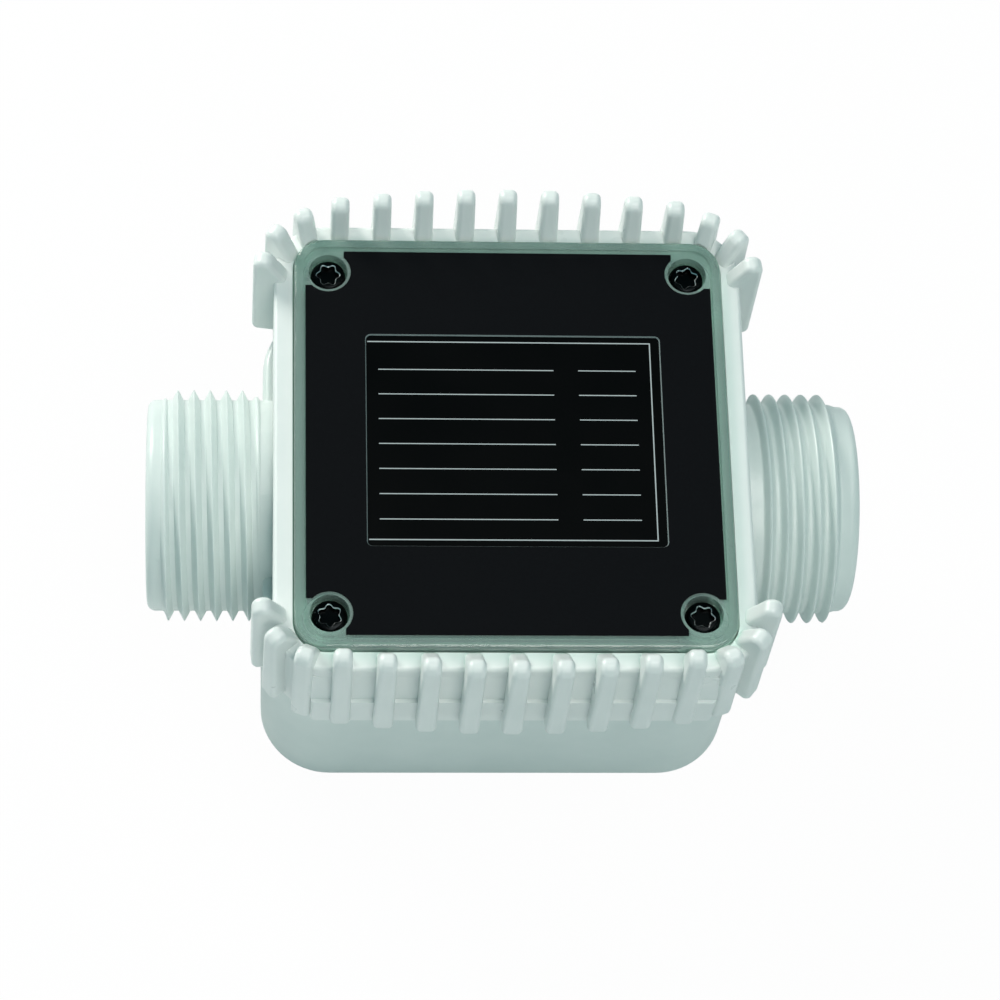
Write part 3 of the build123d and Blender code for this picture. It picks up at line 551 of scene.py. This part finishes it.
rule_line = 0.14 * mm
rule_left, rule_right = -18.6 * mm, 6.0 * mm
entry_left, entry_right = 9.5 * mm, 17.6 * mm
top_rule, bottom_rule = 10.8 * mm, -12.2 * mm
rule_count = 7
strips = [
    (frame_left, frame_right, frame_top - frame_line, frame_top),
    (frame_left, frame_right, frame_bottom, frame_bottom + frame_line),
    (frame_right - frame_line, frame_right, frame_bottom + frame_line, frame_top - frame_line),
]
for height in np.linspace(top_rule, bottom_rule, rule_count):
    strips.append((rule_left, rule_right, height, height + rule_line))
    strips.append((entry_left, entry_right, height, height + rule_line))
points, faces = printed_strips(strips)
new_piece("label_print", points, faces, print_ink, "housing", "label_black")

window_half_x, window_half_y = 20.8 * mm, 16.3 * mm
window_shift = 0.4 * mm
window_corner = 0.8 * mm
foil_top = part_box("front_overlay")[1].z
foil_edge = 0.13 * mm
edge_drop = 0.01 * mm


def window_path(inset):
    """The window's outline, moved in by inset: a quarter circle of points round each corner's centre,
    which lies one corner radius in from both sides."""
    quarter = np.linspace(0, np.pi / 2, 9)
    turn = np.concatenate([quarter + side * np.pi / 2 for side in range(4)])
    side_x = np.repeat([1, -1, -1, 1], len(quarter))
    side_y = np.repeat([1, 1, -1, -1], len(quarter))
    x = window_shift + side_x * (window_half_x - window_corner) + (window_corner - inset) * np.cos(turn)
    y = side_y * (window_half_y - window_corner) + (window_corner - inset) * np.sin(turn)
    return x, y


def cut_edge():
    """A ring of triangular section on the window's outline: up the foil's side, down the cut's slope to
    the plate, and back along the plate."""
    section = [(0, label_face), (0, foil_top - edge_drop), (foil_edge, label_face)]
    rings = []
    for inset, height in section:
        x, y = window_path(inset)
        rings.append(np.stack([x, y, np.full_like(x, height)], axis=1))
    points = np.concatenate(rings)
    count = len(rings[0])
    index = np.arange(len(section) * count).reshape(len(section), count)
    index = np.concatenate([index, index[:, :1]], axis=1)
    index = np.concatenate([index, index[:1]])
    faces = np.stack([index[:-1, :-1], index[:-1, 1:], index[1:, 1:], index[1:, :-1]], axis=2)
    return points.tolist(), faces.reshape(-1, 4).tolist()


# Clear polyester, cut: the foil's core, coloured pale so that it paints the window edge's highlight as a
# fine light line.
edge_painted_highlight = moulded_plastic("cut_edge_painted_highlight", "#8f9c9c", "#7f8c8c", 0.2)
# The cut edge's pale colour is a painted highlight.
new_piece("front_overlay_cut_edge", *cut_edge(), edge_painted_highlight, "housing", "overlay_foil")


# Lid screws
# Four pan-head screws of blackened steel with a six-lobe recess, driven through the lid's wells into
# the frame's bosses. Their heads are domed, and the recess's edge is bright: bare steel worn by the
# driver, and also a painted highlight on the edge's bevel.

head_radius = 2.5 * mm
seat_height = 51.9 * mm
head_top = 53.6 * mm
shank_radius = 1.25 * mm
screw_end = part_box("cover_screws")[0].z
screw_x, screw_y = 25.53 * mm, 26.2 * mm
lobe_mean = 1.42 * mm
lobe_wave = 0.2 * mm
recess_depth = 0.95 * mm
recess_floor_share = 0.94
recess_wall_share = 0.98
rim_bevel_width = 0.13 * mm
rim_bevel_depth = 0.14 * mm
dome_start = 0.02 * mm
dome_inset = 0.16 * mm
dome_height = 0.95 * mm
rim_height = 0.15 * mm
seat_chamfer = 0.12 * mm
point_length = 0.6 * mm
point_share = 0.6
screw_columns = 96


def lid_screw(centre_x, centre_y, turn):
    """One screw as rings round its axis. From the recess's floor up: the lobed rings have the radius
    mean + wave * cos(6 * angle), then the dome's rings follow an arc down to the head's rim, and the
    shank's rings go down to a short blunt point."""
    angle = np.linspace(0, 2 * np.pi, screw_columns, endpoint=False)
    lobes = lobe_mean + lobe_wave * np.cos(6 * (angle - turn))
    rings = []
    for share in (0, 0.55, 0.98):
        rings.append((lobes * share * recess_floor_share, head_top - recess_depth))
    rings.append((lobes * recess_wall_share, head_top - recess_depth * 0.55))
    rings.append((lobes, head_top - rim_bevel_depth))
    rings.append((lobes + rim_bevel_width, head_top - dome_start))
    inner = lobe_mean + lobe_wave + dome_inset
    for share in np.linspace(0.12, 1, 12):
        radius = inner + (head_radius - inner) * np.sin(share * np.pi / 2)
        height = head_top - dome_start - dome_height * (1 - np.cos(share * np.pi / 2))
        rings.append((np.full(screw_columns, radius), height))
    rings.append((np.full(screw_columns, head_radius), seat_height + rim_height))
    rings.append((np.full(screw_columns, head_radius - seat_chamfer), seat_height))
    rings.append((np.full(screw_columns, shank_radius), seat_height))
    rings.append((np.full(screw_columns, shank_radius), screw_end + point_length))
    rings.append((np.full(screw_columns, shank_radius * point_share), screw_end))
    rings.append((np.zeros(screw_columns), screw_end))
    radius = np.array([ring[0] for ring in rings])
    height = np.array([ring[1] for ring in rings])[:, None] + np.zeros_like(radius)
    points = np.stack([
        centre_x + radius * np.cos(angle), centre_y + radius * np.sin(angle), height,
    ], axis=2).reshape(-1, 3)
    index = np.arange(len(rings) * screw_columns).reshape(len(rings), screw_columns)
    index = np.concatenate([index, index[:, :1]], axis=1)
    faces = np.stack([index[:-1, :-1], index[:-1, 1:], index[1:, 1:], index[1:, :-1]], axis=2)
    return points, faces.reshape(-1, 4)


# Steel, blackened in hot oil: black and half gloss, mottled by the oil.
black_oxide = bare_metal("blackened_steel_screw", "#141617", 0.24, axis="Z")
# The same steel where the driver has rubbed the black off, bright; the bright colour also paints the
# highlight on the recess's edge.
worn_edge_and_highlight = bare_metal("worn_edge_painted_highlight", "#dfe6e8", 0.3, axis="Z")

turn_between_screws = 17
screw_points, screw_faces = [], []
for number, (side_x, side_y) in enumerate(((-1, 1), (1, 1), (-1, -1), (1, -1))):
    turn = math.radians(turn_between_screws * number)
    points, faces = lid_screw(side_x * screw_x, side_y * screw_y, turn)
    screw_faces.append(faces + sum(len(block) for block in screw_points))
    screw_points.append(points)
lid_screws = new_piece(
    "cover_screws_detailed", np.concatenate(screw_points).tolist(), np.concatenate(screw_faces).tolist(),
    black_oxide, "housing", "blackened_steel",
)
lid_screws.data.materials.append(worn_edge_and_highlight)

# The faces between the recess and the dome that don't look straight up are the worn edge, which
# takes the bright colour: wear and a painted highlight.
edge_depth = 0.12 * mm
edge_reach = lobe_mean + lobe_wave + 0.06 * mm
looks_up = 0.93
face_count = len(lid_screws.data.polygons)
centres = np.empty(face_count * 3)
lid_screws.data.polygons.foreach_get("center", centres)
centres = centres.reshape(-1, 3)
off_axis = np.hypot(np.abs(centres[:, 0]) - screw_x, np.abs(centres[:, 1]) - screw_y)
on_edge = (centres[:, 2] > head_top - edge_depth) & (off_axis < edge_reach)
normals = np.empty(face_count * 3)
lid_screws.data.polygons.foreach_get("normal", normals)
on_edge &= normals.reshape(-1, 3)[:, 2] < looks_up
lid_screws.data.polygons.foreach_set("material_index", on_edge.astype(np.int32))
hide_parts("cover_screws")


# Floor and light
# A plain white floor that keeps a trace of the object's shadow, three soft boxes and a cool fill from
# all sides, which gives the shadows their cyan. They aren't part of the object.

floor_half = 6.0
floor_glow = 0.97
mesh = bpy.data.meshes.new("floor")
mesh.from_pydata([
    (-floor_half, -floor_half, 0), (floor_half, -floor_half, 0),
    (floor_half, floor_half, 0), (-floor_half, floor_half, 0),
], [], [(0, 1, 2, 3)])
floor = bpy.data.objects.new("floor", mesh)
bpy.context.scene.collection.objects.link(floor)
paper = bpy.data.materials.new("white_paper")
paper.use_nodes = True
tree = paper.node_tree
tree.nodes.clear()
path = add_node(tree, "LightPath")
seen = add_node(tree, "Math", {
    0: path.outputs["Is Camera Ray"], 1: path.outputs["Is Transmission Ray"],
}, operation="MAXIMUM")
share = add_node(tree, "Math", {0: seen.outputs[0], 1: floor_glow}, operation="MULTIPLY")
matte = add_node(tree, "BsdfDiffuse", {"Color": linear("#eeeeee")})
white = add_node(tree, "Emission", {"Color": (1, 1, 1, 1), "Strength": 1.0})
mixed = add_node(tree, "MixShader", {0: share.outputs[0], 1: matte.outputs[0], 2: white.outputs[0]})
add_node(tree, "OutputMaterial", {"Surface": mixed.outputs[0]})
mesh.materials.append(paper)

world = bpy.data.worlds.new("studio")
bpy.context.scene.world = world
world.use_nodes = True
tree = world.node_tree
tree.nodes.clear()
path = add_node(tree, "LightPath")
backdrop = add_node(tree, "Background", {"Color": (1, 1, 1, 1), "Strength": 1.0})
fill = add_node(tree, "Background", {"Color": linear("#94dbe4"), "Strength": 0.29})
mixed = add_node(tree, "MixShader", {
    0: path.outputs["Is Camera Ray"], 1: fill.outputs[0], 2: backdrop.outputs[0],
})
add_node(tree, "OutputWorld", {"Surface": mixed.outputs[0]})


def soft_box(name, place, aim, size, power, colour):
    """A square lamp at place that faces aim; its power is in watts."""
    lamp = bpy.data.lights.new(name, "AREA")
    lamp.shape = "SQUARE"
    lamp.size = size
    lamp.energy = power
    lamp.color = linear(colour)[:3]
    holder = bpy.data.objects.new(name, lamp)
    bpy.context.scene.collection.objects.link(holder)
    look = Vector(aim) - Vector(place)
    facing = look.to_track_quat("-Z", "Y").to_matrix().to_4x4()
    holder.matrix_world = Matrix.Translation(place) @ facing


soft_box(
    "top_light", place=(0.16, -0.04, 0.85), aim=(0, 0, 0.04),
    size=0.36, power=2.2, colour="#fffcf8",
)
soft_box(
    "front_light", place=(0.12, -0.45, 0.62), aim=(0, -0.03, 0.04),
    size=0.3, power=1.5, colour="#fffaf4",
)
soft_box(
    "back_light", place=(-0.45, 0.50, 0.38), aim=(-0.04, 0.01, 0.035),
    size=0.3, power=4.8, colour="#fffaf4",
)


# Camera
# It stands where the photograph was taken from: a long lens, nearly above the lid, with the head turned
# a little to the left.

focal_length = 132.136
flow_axis = Vector((0, 0, flow_height))
camera_offset = Vector((0.297 * mm, -1.040 * mm, -530.824 * mm))
yaw, pitch, roll = 0.07622, -0.42994, 0.02593

lens = bpy.data.cameras.new("camera")
lens.sensor_width = 36.0
lens.lens = focal_length
lens.clip_start = 0.01
camera = bpy.data.objects.new("camera", lens)
bpy.context.scene.collection.objects.link(camera)
turn = Matrix.Rotation(roll, 4, "Z") @ Matrix.Rotation(pitch, 4, "X") @ Matrix.Rotation(yaw, 4, "Y")
camera.matrix_world = (
    Matrix.Translation(flow_axis) @ turn.transposed() @ Matrix.Translation(-camera_offset)
)
bpy.context.scene.camera = camera

bpy.context.scene.view_settings.view_transform = "Standard"
